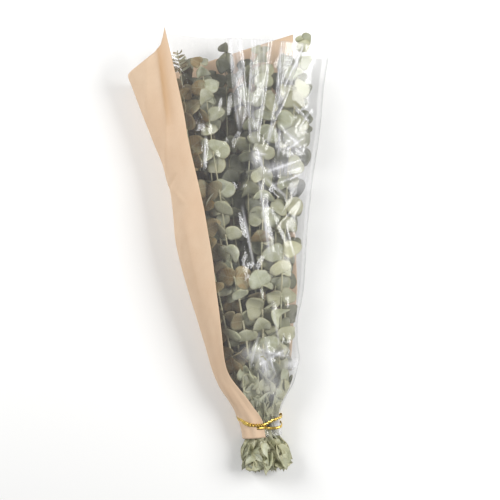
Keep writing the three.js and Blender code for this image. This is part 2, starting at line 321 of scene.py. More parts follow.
def ranged(tree, value, low, high, to_low=0.0, to_high=1.0):
    """The socket of a value taken from one range into another, and kept inside it."""
    return add(tree, "MapRange", {0: value, 1: low, 2: high, 3: to_low, 4: to_high}).outputs[0]


def noise(tree, where, scale, detail=2.0):
    return add(tree, "TexNoise", {"Vector": where, "Scale": scale, "Detail": detail}).outputs[0]


def mixed(tree, factor, first, second):
    """The socket of a mix of two colours."""
    return add(tree, "Mix", {0: factor, 6: first, 7: second}, data_type="RGBA").outputs[2]


def bumped(tree, height, strength, distance):
    """The socket of the normals over a fine relief. distance is in metres."""
    return add(tree, "Bump", {"Height": height, "Strength": strength, "Distance": distance}).outputs[0]


def surfaced(tree, inputs):
    """Closes a material with one surface."""
    surface = add(tree, "BsdfPrincipled", inputs)
    add(tree, "OutputMaterial", {0: surface.outputs[0]})


def dried_leaf():
    """Round eucalyptus leaf, dried flat: matt, with a pale waxy bloom that has worn off in blotches over
    olive, a paler midrib, faint side veins and a rim that has browned. Some leaves have gone to rust."""
    material, tree = blank_material("dried_eucalyptus_leaf")
    uv = add(tree, "UVMap", uv_map="leaf")
    across, along, _ = add(tree, "SeparateXYZ", {0: uv.outputs[0]}).outputs
    off_rib = worked(tree, "ABSOLUTE", worked(tree, "SUBTRACT", across, 0.5))
    off_middle = worked(tree, "ABSOLUTE", worked(tree, "SUBTRACT", along, 0.5))
    tone = add(tree, "Attribute", attribute_name="leaf_tone")
    rust, bloom, chance = add(tree, "SeparateColor", {0: tone.outputs["Color"]}).outputs

    place = add(tree, "TexCoord").outputs["Object"]
    blotches = noise(tree, place, 90, 3)
    speckle = noise(tree, place, 600)
    waxy = worked(tree, "MULTIPLY", bloom, ranged(tree, blotches, 0.35, 0.7))
    blade = mixed(tree, waxy, colour("#A3A688"), colour("#D3D6CB"))
    blade = mixed(tree, worked(tree, "MULTIPLY", chance, 0.4), blade, colour("#BFB791"))
    rusted = worked(tree, "MULTIPLY", rust, ranged(tree, blotches, 0.2, 0.55))
    blade = mixed(tree, rusted, blade, colour("#957B4C"))

    # The rim is the outermost sixteenth of the blade's width.
    rim = ranged(tree, worked(tree, "MAXIMUM", off_rib, off_middle), 0.44, 0.5, 0, 0.55)
    blade = mixed(tree, rim, blade, colour("#9C9068"))
    rib = ranged(tree, off_rib, 0.008, 0.03, 0.3, 0)
    blade = mixed(tree, rib, blade, colour("#CFCDB0"))

    # Six side veins on each half, slanting up from the midrib.
    slant = worked(tree, "MULTIPLY_ADD", off_rib, -0.9, along)
    veins = worked(tree, "SINE", worked(tree, "MULTIPLY", slant, 38))
    vein_line = ranged(tree, veins, 0.75, 1, 0, 0.25)
    blade = mixed(tree, vein_line, blade, colour("#C3C2A4"))
    # Each leaf's colour is scaled by its brightness: painted shade on the lower layers, painted light on the
    # top layer, at the neck and below the tie, a random tone, and a little darkening where rusted.
    tone_and_painted_shade = add(tree, "VectorMath", {0: blade, "Scale": tone.outputs["Alpha"]}, operation="SCALE")

    relief = worked(tree, "MULTIPLY_ADD", speckle, 0.5, worked(tree, "ADD", rib, vein_line))
    surfaced(tree, {
        "Base Color": tone_and_painted_shade.outputs[0],
        "Roughness": ranged(tree, speckle, 0, 1, 0.5, 0.75),
        "IOR": 1.45,
        "Specular IOR Level": 0.35,
        "Normal": bumped(tree, relief, 0.35, 0.0004),
    })
    return material


def pale_stem():
    """Thin dried eucalyptus twig: smooth straw-coloured bark with a grey-green bloom in patches."""
    material, tree = blank_material("dried_eucalyptus_twig")
    place = add(tree, "TexCoord").outputs["Object"]
    streaks = add(tree, "Mapping", {0: place, 3: (900, 60, 900)})
    grain = noise(tree, streaks.outputs[0], 1, 3)
    bark = mixed(tree, grain, colour("#A79E78"), colour("#CFCBAE"))
    green = ranged(tree, noise(tree, place, 40), 0.45, 0.65, 0, 0.6)
    bark = mixed(tree, green, bark, colour("#A3AB8C"))
    surfaced(tree, {"Base Color": bark, "Roughness": 0.6, "Normal": bumped(tree, grain, 0.3, 0.0003)})
    return material


def kraft():
    """Natural kraft wrapping paper: matt, pressed from long brown fibres that show as fine pale and dark
    flecks along the machine direction, with a soft cloudiness where the sheet is thicker."""
    material, tree = blank_material("natural_kraft_paper")
    flat = add(tree, "UVMap", uv_map="flat").outputs[0]
    # The flat map is in metres: fibres are about 0.4 mm wide and 4 mm long.
    stretched = add(tree, "Mapping", {0: flat, 3: (2400, 240, 1)})
    fibres = noise(tree, stretched.outputs[0], 1, 4)
    clouds = noise(tree, flat, 45, 5)
    sheet_tone = mixed(tree, clouds, colour("#CFB396"), colour("#DCC4AA"))
    tint = ranged(tree, noise(tree, flat, 9), 0.4, 0.7, 0, 0.5)
    sheet_tone = mixed(tree, tint, sheet_tone, colour("#D6B698"))
    dark_fibre = ranged(tree, fibres, 0.62, 0.75, 0, 0.35)
    sheet_tone = mixed(tree, dark_fibre, sheet_tone, colour("#A5825D"))
    pale_fibre = ranged(tree, fibres, 0.4, 0.28, 0, 0.4)
    sheet_tone = mixed(tree, pale_fibre, sheet_tone, colour("#E6D2B9"))
    # Painted shade darkens the paper thinly along its creases and widely beside the wing's crease.
    creased = add(tree, "Attribute", attribute_name="creased")
    sheet_tone = mixed(tree, creased.outputs["Fac"], sheet_tone, colour("#B68E62"))
    relief = worked(tree, "MULTIPLY_ADD", clouds, 2, fibres)
    surfaced(tree, {
        "Base Color": sheet_tone,
        "Roughness": ranged(tree, fibres, 0, 1, 0.72, 0.9),
        "Specular IOR Level": 0.3,
        "Normal": bumped(tree, relief, 0.35, 0.0003),
    })
    return material


def clear_wrap():
    """Clear polypropylene flower film, thin and stiff: nearly everything shows through it, and its folds and
    fine crinkles mirror the lights as sharp white streaks. It is painted white in places: painted highlights
    and glare along its folds and in spots, and haze where it was crushed."""
    material, tree = blank_material("clear_polypropylene_film")
    flat = add(tree, "UVMap", uv_map="flat").outputs[0]
    # The painted glare and haze are broken up in fine streaks about 3 mm apart.
    creased = add(tree, "Attribute", attribute_name="creased")
    fine = add(tree, "Mapping", {0: flat, 3: (330, 60, 1)})
    broken = ranged(tree, noise(tree, fine.outputs[0], 1, 3), 0.3, 0.7, 0.45, 1)
    glare_and_haze = worked(tree, "MULTIPLY", creased.outputs["Fac"], broken)
    # Crinkles are flat facets about 12 mm wide, and ripples about 40 mm.
    facets = add(tree, "TexVoronoi", {"Vector": flat, "Scale": 80.0})
    relief = worked(tree, "MULTIPLY_ADD", facets.outputs[0], 0.35, noise(tree, flat, 25))
    normal = bumped(tree, relief, 0.25, 0.004)
    # Schlick's curve, which is the same for both faces of the sheet.
    edge_on = add(tree, "LayerWeight", {0: 0.5, "Normal": normal})
    steep = worked(tree, "POWER", edge_on.outputs["Facing"], 5)
    glancing = worked(tree, "MULTIPLY_ADD", steep, 0.6, 0.035)
    see_through = add(tree, "BsdfTransparent", {0: (0.99, 0.99, 0.99, 1)})
    gloss = add(tree, "BsdfGlossy", {"Normal": normal, "Roughness": 0.12})
    both = add(tree, "MixShader", {0: glancing, 1: see_through.outputs[0], 2: gloss.outputs[0]})
    # A white diffuse surface mixed in: painted highlights and glare, and haze where the film is crushed.
    white_glare_and_haze = add(tree, "BsdfDiffuse", {0: colour("#F2F2F5")})
    whole = add(tree, "MixShader", {0: glare_and_haze, 1: both.outputs[0], 2: white_glare_and_haze.outputs[0]})
    add(tree, "OutputMaterial", {0: whole.outputs[0]})
    return material


def gold_strip():
    """Metallised polyester strip over a wire, as on bread ties: a bright yellow gold, finely wrinkled."""
    material, tree = blank_material("gold_metallised_tie")
    wrinkles = noise(tree, add(tree, "TexCoord").outputs["Object"], 700)
    surfaced(tree, {
        "Base Color": mixed(tree, wrinkles, colour("#DFB140"), colour("#F8E08A")),
        "Metallic": 1,
        "Roughness": ranged(tree, wrinkles, 0, 1, 0.16, 0.34),
        "Normal": bumped(tree, wrinkles, 0.5, 0.0003),
    })
    return material


def pale_floor():
    material, tree = blank_material("pale_studio_floor")
    surface = add(tree, "BsdfDiffuse", {0: colour("#F6F6F5")})
    add(tree, "OutputMaterial", {0: surface.outputs[0]})
    return material


# ---- Making pieces ----


def piece(name, mesh_maker, material, slot, *nodes):
    """A finished object whose mesh mesh_maker fills, standing for those CAD nodes."""
    bm = bmesh.new()
    mesh_maker(bm)
    mesh = bpy.data.meshes.new(name)
    bm.to_mesh(mesh)
    bm.free()
    mesh.shade_smooth()
    mesh.materials.append(material)
    made = bpy.data.objects.new(name, mesh)
    bpy.context.scene.collection.objects.link(made)
    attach(made, "root")
    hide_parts(*nodes)
    return made


def thickened(made, thickness):
    """Gives a sheet its thickness, inwards from its face."""
    wall = made.modifiers.new("thickness", "SOLIDIFY")
    wall.thickness = thickness / 1000
    wall.offset = -1


def sweep(bm, frames, outline):
    """A closed rod with that outline, from frame to frame. Each frame's Z points along the rod."""
    face = bm.faces.new([bm.verts.new(frames[0] @ Vector((x, y, 0))) for x, y in outline])
    rod = list(face.verts)
    for before, after in zip(frames, frames[1:]):
        grown = bmesh.ops.extrude_face_region(bm, geom=[face])["geom"]
        face = next(part for part in grown if isinstance(part, bmesh.types.BMFace))
        bmesh.ops.transform(bm, matrix=after @ before.inverted(), verts=face.verts)
        rod += list(face.verts)
    faces = list({f for v in rod for f in v.link_faces})
    bmesh.ops.recalc_face_normals(bm, faces=faces)


def frames_along(points, up, scales=None, twists=None):
    """A frame at each point, its Z along the route and its Y as near up as that lets it be."""
    points = [Vector(p) for p in points]
    found = []
    for i, point in enumerate(points):
        ahead = (points[min(i + 1, len(points) - 1)] - points[max(i - 1, 0)]).normalized()
        side = Vector(up[i] if hasattr(up[0], "__len__") else up).cross(ahead).normalized()
        turned = Matrix((side, ahead.cross(side), ahead)).transposed().to_4x4()
        turned = Matrix.Translation(point) @ turned
        if twists is not None:
            turned = turned @ Matrix.Rotation(twists[i], 4, "Z")
        if scales is not None:
            turned = turned @ Matrix.Scale(scales[i], 4)
        found.append(turned)
    return found


def ring_outline(sides):
    angles = [2 * math.pi * i / sides for i in range(sides)]
    return [(math.cos(a), math.sin(a)) for a in angles]


# ---- The branches ----

# Four layers of branches from the surface up, and their places across the bed as shares of its width.
LAYERS = [
    (-1 / 4, 0, 1 / 4),
    (-3 / 8, -1 / 8, 1 / 8, 3 / 8),
    (-0.27, 0.03, 0.26),
    (-0.4, -0.15, 0.11, 0.365),
]
TOP_LAYER = len(LAYERS) - 1
# The top layer's branches lean their own ways: pairs of share of the way to the tips, and place.
TOP_PLACES = [
    [(0, -0.37), (1, -0.42)],
    [(0, -0.13), (0.2, -0.153), (0.6, -0.205), (0.87, -0.28), (1, -0.3)],
    [(0, 0.08), (0.2, 0.08), (0.46, 0.13), (0.85, 0.115), (1, 0.1)],
    [(0, 0.34), (0.2, 0.3), (0.45, 0.325), (1, 0.36)],
]
SIDE_DROP = 1.4  # how fast the bed gets lower towards its sides
PARTING = ((215, 8), (335, 0), (455, 12))  # where the upper leaves part: stations and X
COMBED = 11  # the branch at the left of the top layer, whose growing tip is set like a comb
COMB_EXTRA = 20  # how much further than its place in the steps that branch reaches
BRANCH_COUNT = sum(len(row) for row in LAYERS)
TIP_STEP, TIP_STEPS = 0.012, 9  # the tips end one by one lower by this share, in turns of so many
BUTT_STEP, BUTT_STEPS = 0.03, 7  # and so do the cut ends, which take every fourth step


def branches():
    found = []
    for layer, row in enumerate(LAYERS):
        for i, place in enumerate(row):
            number = len(found) + 1
            shorter = TIP_STEP * ((BRANCH_COUNT - number) % TIP_STEPS)
            found.append({
                "number": number,
                "layer": layer,
                "places": TOP_PLACES[i] if layer == TOP_LAYER else [(0, place), (1, place)],
                "tip": TIP_REACH * (1 - shorter) + (COMB_EXTRA if number == COMBED else 0),
                "butt": -BUTT_LENGTH * (1 - BUTT_STEP * ((number * 4) % BUTT_STEPS)),
            })
    return found


def on_bed(x, y, height):
    """A point that lies at that height in the bed, whose sides are lower than its middle."""
    share = (x - bed_middle(y)) / bed_width(y)
    return bed_level(y) + height * (1 - SIDE_DROP * np.minimum(share * share, 0.3))


SWAY = (2.5, 70)  # of a stem at the head: how far to each side, and its wavelength over 2 pi
WOBBLE = (0.8, 23)  # the same, for a quicker wave


def stem_line(branch, y):
    """The stem's middle line, before the bed's sides lower it: an array of x, y and height."""
    y = np.asarray(y, float)
    reach = bed_width(y) / HEAD_WIDTH
    sway = SWAY[0] * reach * np.sin(y / SWAY[1] + branch["number"] * 2.1)
    wobble = WOBBLE[0] * reach * np.sin(y / WOBBLE[1] + branch["number"])
    x = bed_middle(y) + through(branch["places"], y / TIP_REACH) * bed_width(y) + sway + wobble
    height = (branch["layer"] + 0.5) * bed_depth(y) / len(LAYERS)
    return np.stack([x, y, height], axis=-1)


# How close together a branch's pairs sit, as a share of the usual spacing, by the share of the way from
# the tie to the tip: they are crowded at the neck and closer towards the tip.
CLOSENESS = [(-0.12, 0.4), (0, 0.4), (0.08, 0.55), (0.2, 1), (0.7, 0.95), (0.85, 0.7), (1, 0.5)]
COMB_START = 0.925  # where the tip set like a comb begins, in the same shares
COMB_CLOSENESS = 0.17
BARE_BUTT, BARE_TIP = 4, 3  # of stem without leaves, at its ends


def in_comb(branch, y):
    return branch["number"] == COMBED and y / branch["tip"] > COMB_START


def pair_places(branch):
    """Where a branch's pairs of leaves sit."""
    spacing = TOP_PAIR_SPACING if branch["layer"] == TOP_LAYER else PAIR_SPACING
    places = []
    y = branch["butt"] + BARE_BUTT
    while y < branch["tip"] - BARE_TIP:
        places.append(y)
        closeness = float(through(CLOSENESS, y / branch["tip"]))
        y += spacing * (COMB_CLOSENESS if in_comb(branch, y) else closeness)
    return places


JOINT_REACH = 1.6  # how far from a pair of leaves the stem has swollen, and how much
JOINT_SWELL = 0.35


def stem_mesh(bm, branch, places):
    """A tapered twig with a slight swelling where each pair of leaves sits."""
    steps = sorted({branch["butt"], branch["tip"], *places})
    stations = []
    for low, high in zip(steps, steps[1:]):
        reach = min(JOINT_REACH, (high - low) / 3)
        stations += [low, low + reach, (low + high) / 2, high - reach]
    stations.append(steps[-1])
    stations = np.array(stations)
    line = stem_line(branch, stations)
    route = in_place(line[:, 0], line[:, 1], on_bed(line[:, 0], line[:, 1], line[:, 2]))
    taper = (stations - branch["butt"]) / (branch["tip"] - branch["butt"])
    swell = 1 + JOINT_SWELL * np.isin(stations, places)
    radii = lerp(STEM_BUTT_RADIUS, STEM_TIP_RADIUS, taper) * swell / 1000
    sweep(bm, frames_along(route, (0, 0, 1), scales=radii), ring_outline(7))


def round_blade():
    """A flat round leaf blade of radius 1, with its leaf UV map: U across it and V from base to tip."""
    bm = bmesh.new()
    bm.loops.layers.uv.new("leaf")
    bmesh.ops.create_grid(bm, x_segments=6, y_segments=6, size=1, calc_uvs=True)
    for vert in bm.verts:
        x, y, _ = vert.co
        vert.co = (x * math.sqrt(1 - y * y / 2), y * math.sqrt(1 - x * x / 2), 0)
    mesh = bpy.data.meshes.new("round_blade")
    bm.to_mesh(mesh)
    bm.free()
    return mesh


BLADE = round_blade()
BLADE_POINTS = np.array([v.co for v in BLADE.vertices])


def blade_form(length, width, cup, fold, droop, wave, phase, pointed):
    """The blade's points with its base at 0, its tip along +Y and its upper face to +Z."""
    across, along = BLADE_POINTS[:, 0], (BLADE_POINTS[:, 1] + 1) / 2
    out = np.hypot(BLADE_POINTS[:, 0], BLADE_POINTS[:, 1])
    swirl = np.arctan2(BLADE_POINTS[:, 0], BLADE_POINTS[:, 1])
    # The outline is a little out of round, each leaf in its own way.
    bulge = out**2 * (0.07 * np.sin(2 * swirl + 2 * phase) + 0.045 * np.sin(3 * swirl + 5 * phase))
    x = width / 2 * across * (1.08 - 0.14 * along) * (1 + bulge)
    lobes = 0.14 * np.abs(across) ** 1.5 * (1 - along)
    point = pointed * np.exp(-((across / 0.25) ** 2)) * along**4
    y = length * (along * (1 + bulge) - lobes + point)
    ruffle = np.sin(2 * swirl + phase) + 0.45 * np.sin(5 * swirl + 3 * phase)
    z = length * (cup * across**2 + droop * along**2 + wave * out**2 * ruffle)
    z += fold * width / 2 * np.abs(across)
    return np.stack([x, y, z], axis=-1)


def unit(vector):
    return vector / np.linalg.norm(vector)


STRIPPED = -6  # below here the leaves were stripped downwards
DRAWN_UP = (35, 140)  # from the neck on, leaves open from drawn up beside the stem to fully open
COMB_LEAF_WIDTH = 3.4
COMB_LEAF_LENGTHS = (21, 7)  # at the foot of the comb and at its tip


def leaf_points(branch, y, azimuth, size, chance):
    """One leaf of a pair, growing from the stem at y. azimuth 0 points to +X and a quarter turn up."""
    room = float(bed_width(y)) / 4
    open_share = float(smoothstep(y, *DRAWN_UP))
    width = min(LEAF_WIDTH * size, lerp(1.7, 2.4, open_share) * room) * chance.uniform(0.84, 1.08)
    length = LEAF_LENGTH * size * chance.uniform(0.86, 1.1) * lerp(1.25, 1.0, open_share)
    to_side = abs(math.cos(azimuth))
    opening = math.radians(lerp(38, 80, to_side)) * chance.uniform(0.6, 1.25) * lerp(0.3, 1.0, open_share)
    base = stem_line(branch, y)
    stem = unit(stem_line(branch, y + 3) - stem_line(branch, y - 3))
    if in_comb(branch, y):
        width, opening = COMB_LEAF_WIDTH, math.radians(66)
        length = lerp(*COMB_LEAF_LENGTHS, (y / branch["tip"] - COMB_START) / (1 - COMB_START))
        azimuth = 0.0 if math.cos(azimuth) >= 0 else math.pi
    if y < STRIPPED:
        # These point to the cut ends, and the lowest stop 3 mm past the longest of them.
        stem = -stem
        opening *= 1.5
        length = min(length, y + BUTT_LENGTH + 3)
    outward = np.array([math.cos(azimuth), 0, math.sin(azimuth)])
    pointing = unit(math.cos(opening) * stem + math.sin(opening) * outward)
    # The upper face looks up the stem and away from it; on the flanks it has turned up to the light.
    facing = np.array([0, -0.25 * to_side, 1.0 if math.sin(azimuth) > -0.5 else -1.0])
    roll = chance.gauss(0, math.radians(lerp(45, lerp(16, 27, to_side), open_share)))
    side = unit(np.cross(pointing, facing))
    normal = np.cross(side, pointing)
    side, normal = (
        math.cos(roll) * side + math.sin(roll) * normal,
        math.cos(roll) * normal - math.sin(roll) * side,
    )
    curled = chance.random() < 0.26
    form = blade_form(
        length,
        width,
        cup=chance.uniform(0.25, 0.6) if curled else chance.uniform(-0.08, 0.18),
        fold=lerp(0.65, 0.03, open_share) * chance.uniform(0.3, 1.5),
        droop=chance.uniform(-0.4, 0.16),
        wave=chance.uniform(0.02, 0.09),
        phase=chance.uniform(0, 6.28),
        pointed=0.06 if y > STRIPPED else 0.3,
    )
    points = base + form @ np.array([side, pointing, normal])
    return kept_inside(points)


SIDE_ROOM = 5  # between the leaves and the sleeve's two edges
ROOF_ROOM = 1.5
PRESSED_APART = 0.02  # how far under the roof a leaf is pressed, to how far it stood over it
STUBBLE_SPREAD = 9  # of the leaves below the sleeve, to each side
OPEN_MOUTH = 40  # at the mouth the film presses nothing down over this length


def kept_inside(points):
    """The points in the frame's metres, held inside the sleeve's smooth skin."""
    x, y, height = points.T
    free = STUBBLE_SPREAD * smoothstep(-y, SKIRT_LENGTH, 2 * SKIRT_LENGTH)
    x = np.clip(x, left_edge(y) + SIDE_ROOM - free, right_edge(y) - SIDE_ROOM + free)
    z = on_bed(x, y, height)
    within = (y < TIP_REACH - OPEN_MOUTH) & (y > -SKIRT_LENGTH)
    over = roof(x, y) - ROOF_ROOM
    z = np.where(within & (z > over), over - PRESSED_APART * (z - over), z)
    z = np.maximum(z, bed_level(y))
    return in_place(x, y, z)


def leaf_size(branch, y):
    share = (y - branch["butt"]) / (branch["tip"] - branch["butt"])
    sizes = [(0, 0.85), (0.12, 0.9), (0.25, 1), (0.8, 1), (0.92, 0.85), (1, 0.5)]
    return float(through(sizes, share))


LAYER_PAINTED_SHADE = (0.48, 0.54, 0.76, 1.1)  # painted shade and light on each layer's colour, from the lowest layer up
# painted light on the leaves at the neck, the same for every layer
NECK_PAINTED_LIGHT = 1.1
FADING = (20, 120)  # stations between which the neck's painted light gives way to the layer's painted shade
# how much lighter the leaves below the tie are painted
STUBBLE_PAINTED_LIGHTER = 0.15
RUST_START = 60
SHADED = (14, 55)  # from the branches' left side, over which the leaves go from shaded to not
FALLEN = 0.07  # the share of the leaves that have fallen
FALLEN_IN_PARTING = 0.85
PARTING_REACH = 8  # of the parting, to each side


def leaf_shade(branch, y, x, greyness, chance):
    """A leaf's rust, bloom, chance tint and brightness: painted light and shade by layer, times a random
    tone. Most of the leaves near the bed's left side, beside the paper, are given the rust colour.
    """
    shaded = float(1 - smoothstep(x - bed_middle(y) + bed_width(y) / 2, *SHADED)) * (y > RUST_START)
    rust = chance.uniform(0.6, 1.0) if chance.random() < 0.03 + 0.85 * shaded else 0.0
    bloom = greyness * chance.uniform(0.5, 1.0)
    # Painted light and shade by layer and at the neck, painted lighter below the tie, and a little darker for
    # rust.
    painted_light_and_rust = lerp(NECK_PAINTED_LIGHT, LAYER_PAINTED_SHADE[branch["layer"]], float(smoothstep(y, *FADING)))
    painted_light_and_rust = painted_light_and_rust * (1 - 0.15 * rust) + STUBBLE_PAINTED_LIGHTER * (y < STRIPPED)
    return rust, bloom, chance.random(), painted_light_and_rust * chance.uniform(0.7, 1.08)


def in_parting(branch, x, y):
    at_parting = abs(x - np.interp(y, *np.transpose(PARTING))) < PARTING_REACH
    return branch["layer"] > 1 and PARTING[0][0] < y < PARTING[-1][0] and at_parting


def leaves_mesh(bm, branch, places):
    """Pairs of leaves, each pair set across the one below it. A few leaves have fallen, and nearly all
    of the upper ones in the parting."""
    chance = random.Random(branch["number"])
    bm.loops.layers.uv.new("leaf")
    bm.verts.layers.float_color.new("leaf_tone")
    greyness = chance.uniform(0.5, 1.0)
    for pair, y in enumerate(places):
        across = (pair + branch["number"]) % 2 * math.pi / 2 + chance.gauss(0, 0.35)
        for azimuth in (across, across + math.pi):
            luck = chance.random()
            size = leaf_size(branch, y) * chance.uniform(0.84, 1.06)
            points = leaf_points(branch, y, azimuth, size, chance)
            x = (points[:, 0].mean() - NECK.x) * 1000
            shade = leaf_shade(branch, y, x, greyness, chance)
            if luck < (FALLEN_IN_PARTING if in_parting(branch, x, y) else FALLEN):
                continue
            bm.from_mesh(BLADE)
            bm.verts.ensure_lookup_table()
            tone = bm.verts.layers.float_color["leaf_tone"]
            for vert, point in zip(bm.verts[-len(points) :], points):
                vert.co = point
                vert[tone] = shade


def make_branches():
    leaf_finish, stem_finish, slot = dried_leaf(), pale_stem(), "dried_eucalyptus"
    for branch in branches():
        node = f"branch_{branch['number']:02d}"
        places = pair_places(branch)
        piece(f"{node}_stem", lambda bm: stem_mesh(bm, branch, places), stem_finish, slot, node)
        leaves = piece(f"{node}_leaves", lambda bm: leaves_mesh(bm, branch, places), leaf_finish, slot, node)
        thickened(leaves, LEAF_THICKNESS)


# ---- The sleeve's two sheets ----


class Crease:
    """A straight ridge in a sheet, from a to b in top view. It is sharp along its crest."""

    def __init__(self, a, b, width, height):
        self.a, self.b, self.width, self.height = np.array(a, float), np.array(b, float), width, height

    def reach(self, x, y):
        """How strong it is beside each point, and how far off to its right the point is."""
        run = self.b - self.a
        length = np.hypot(*run)
        inside = np.clip(((x - self.a[0]) * run[0] + (y - self.a[1]) * run[1]) / length**2, 0, 1)
        aside = ((x - self.a[0]) * run[1] - (y - self.a[1]) * run[0]) / length
        return np.sqrt(np.clip(4 * inside * (1 - inside), 0, 1)), aside

    def rise(self, x, y):
        strength, aside = self.reach(x, y)
        return self.height * strength * np.clip(1 - np.abs(aside) / self.width, 0, 1)

    def mark(self, x, y, width):
        strength, aside = self.reach(x, y)
        return abs(self.height) * strength**2 * np.exp(-((aside / width) ** 2))


class Band:
    """A flat fold between two edges that run up the sheet, each given as (y, x) pairs. It steps up at
    its left edge, falls gently across to its right edge, and steps down there."""

    def __init__(self, left, right, height, fall=0.5):
        self.left, self.right = np.array(left, float).T, np.array(right, float).T
        self.height, self.fall = height, fall

    def rise(self, x, y):
        left = np.interp(y, *self.left)
        width = np.interp(y, *self.right) - left
        across = (x - left) / np.maximum(width, 0.01)
        profile = np.interp(across, [0, 0.1, 0.9, 1], [0, 1, 1 - self.fall, 0])
        return self.height * profile * self.growth(y) * np.clip(width / 10, 0, 1)

    def growth(self, y):
        return np.clip((y - self.left[0][0]) / 30, 0, 1)

    def mark(self, x, y):
        """Painted reflection in streaks inside, and painted highlights in broken lines along its two edges.
        """
        left, right = np.interp(y, *self.left), np.interp(y, *self.right)
        edges = np.exp(-(((x - left) / 1.6) ** 2)) + 0.6 * np.exp(-(((x - right) / 1.4) ** 2))
        broken = 0.5 + 0.5 * np.sin(y / 9 + np.sin(y / 23 + left[0]) * 2)
        streaks = 0.5 + 0.5 * np.sin((x - left) * 0.9 + y / 31)
        inside = (x > left) & (x < right)
        return self.growth(y) * (edges * (0.14 + 0.4 * broken) + inside * (0.06 + 0.14 * streaks))


STATION_STEP = 4.0
PAST_TIPS = 40  # how far past the branch tips the skin is worked out
TURN_STEPS = 1600
SECTION_MIDDLE = 25  # about the middle height of the sections, which tells outwards from inwards
FOLDS_GROW = (1.5, 12)  # heights off the surface, over which folds grow from nothing to their full rise
MARKS_GROW = (12, 25)
FLAT_WIDTH_SHARE = 1.5  # of a sheet's flat width, to its width on the sleeve
FLAT_LENGTH = 0.61  # of the sheets' maps, in metres


def skin_rows(start, end, columns, inset):
    """The sleeve's skin at even steps round it: its stations along the bunch, and X and Z at each."""
    stations = np.arange(-SKIRT_LENGTH - STATION_STEP, TIP_REACH + PAST_TIPS, STATION_STEP)
    shares = np.linspace(0, 1, columns + 1)
    x_rows, z_rows = [], []
    for y in stations:
        turns = np.linspace(start(y), end(y), TURN_STEPS)
        x, z = sleeve(y, turns, inset)
        walked = np.concatenate([[0], np.cumsum(np.hypot(np.diff(x), np.diff(z)))])
        x_rows.append(np.interp(shares * walked[-1], walked, x))
        z_rows.append(np.interp(shares * walked[-1], walked, z))
    return stations, np.array(x_rows), np.array(z_rows)


def sheet_mesh(bm, start, end, top, columns, rows, inset, relief, paint_light_and_haze):
    """A sheet laid on the sleeve's skin: a grid whose X runs round the section and Y along it.
    relief gives how far it stands off the skin, and the last argument how strongly it is painted, from 0 to
    1: painted shade on the paper, painted glare and haze on the film."""
    stations, x_rows, z_rows = skin_rows(start, end, columns, inset)
    bm.loops.layers.uv.new("flat")
    bm.verts.layers.float.new("creased")
    bmesh.ops.create_grid(bm, x_segments=columns, y_segments=rows, size=0.5, calc_uvs=True)
    grid = np.array([v.co for v in bm.verts])
    column = np.rint((grid[:, 0] + 0.5) * columns).astype(int)
    share = column / columns
    run = grid[:, 1] + 0.5
    y = lerp(-SKIRT_LENGTH, top(share), run)
    x, z = np.empty_like(y), np.empty_like(y)
    out_x, out_z = np.empty_like(y), np.empty_like(y)
    along_x, along_z = np.gradient(x_rows, axis=1), np.gradient(z_rows, axis=1)
    for i in range(columns + 1):
        here = column == i
        x[here] = np.interp(y[here], stations, x_rows[:, i])
        z[here] = np.interp(y[here], stations, z_rows[:, i])
        out_x[here] = -np.interp(y[here], stations, along_z[:, i])
        out_z[here] = np.interp(y[here], stations, along_x[:, i])
    size = np.hypot(out_x, out_z) + 1e-9
    sign = np.sign((x - centre_line(y)) * out_x + (z - SECTION_MIDDLE) * out_z)
    rise = relief(x, y, z) * smoothstep(z - floor_level(y), *FOLDS_GROW)
    x += sign * out_x / size * rise
    z += sign * out_z / size * rise
    z = np.maximum(z, floor_level(y) + inset)
    # How strongly each point is painted: painted shade on the paper, painted glare and haze on the film,
    # growing in over the first heights off the floor.
    marks = paint_light_and_haze(x, y) * smoothstep(z, *MARKS_GROW)
    creased = bm.verts.layers.float["creased"]
    for vert, place, mark in zip(bm.verts, in_place(x, y, z), marks):
        vert.co = place
        vert[creased] = mark
    flat = bm.loops.layers.uv["flat"]
    flat_width = (x_rows.max() - x_rows.min()) * FLAT_WIDTH_SHARE / 1000
    for face in bm.faces:
        for loop in face.loops:
            u, v = loop[flat].uv
            loop[flat].uv = (u * flat_width, v * FLAT_LENGTH)
    bmesh.ops.recalc_face_normals(bm, faces=bm.faces)
    low_face = min(bm.faces, key=lambda f: f.calc_center_median().z)
    if low_face.normal.z > 0:
        bmesh.ops.reverse_faces(bm, faces=bm.faces)


def ripple(x, y, length, seed):
    """A soft swell, about 1 high, whose waves are that long and lie mostly along the bunch."""
    total = 0
    chance = random.Random(seed)
    for octave in range(3):
        for _ in range(3):
            angle = chance.gauss(0, 0.5)
            phase = chance.uniform(0, 6.28)
            pitch = 2 * math.pi / (length / 1.7**octave)
            wave = np.sin(pitch * (x * math.cos(angle) + 0.45 * y * math.sin(angle)) + phase)
            total = total + wave * np.sin(pitch * 0.31 * y + phase * 3) / (3 * 1.6**octave)
    return total


def gathers(x, y, folds, height, reach):
    """Radial folds where the sheet is drawn in to the neck."""
    across = (x - bed_middle(y)) / bed_width(y)
    drawn_in = np.exp(-(((y - 2) / reach) ** 2))
    return height * drawn_in * np.sin(across * math.pi * folds + np.sin(y / 17.0))


# The first two are the crease that the paper's wing hangs from.
PAPER_CREASES = [
    Crease((-101, 590), (-97, 455), 6, 2.0),
    Crease((-97, 480), (-111, 365), 6, 1.4),
    Crease((-100, 300), (-108, 372), 7, -2.0),
    Crease((-108, 372), (-84, 338), 6, 1.6),
    Crease((-108, 362), (-92, 385), 5, -1.4),
    Crease((-70, 150), (-90, 330), 9, 0.9),
    Crease((-52, 70), (-60, 170), 7, -0.8),
    Crease((-30, 14), (-66, 90), 6, 1.2),
    Crease((-12, 12), (-44, 70), 5, -0.9),
    Crease((-130, 470), (-118, 560), 8, 1.0),
]


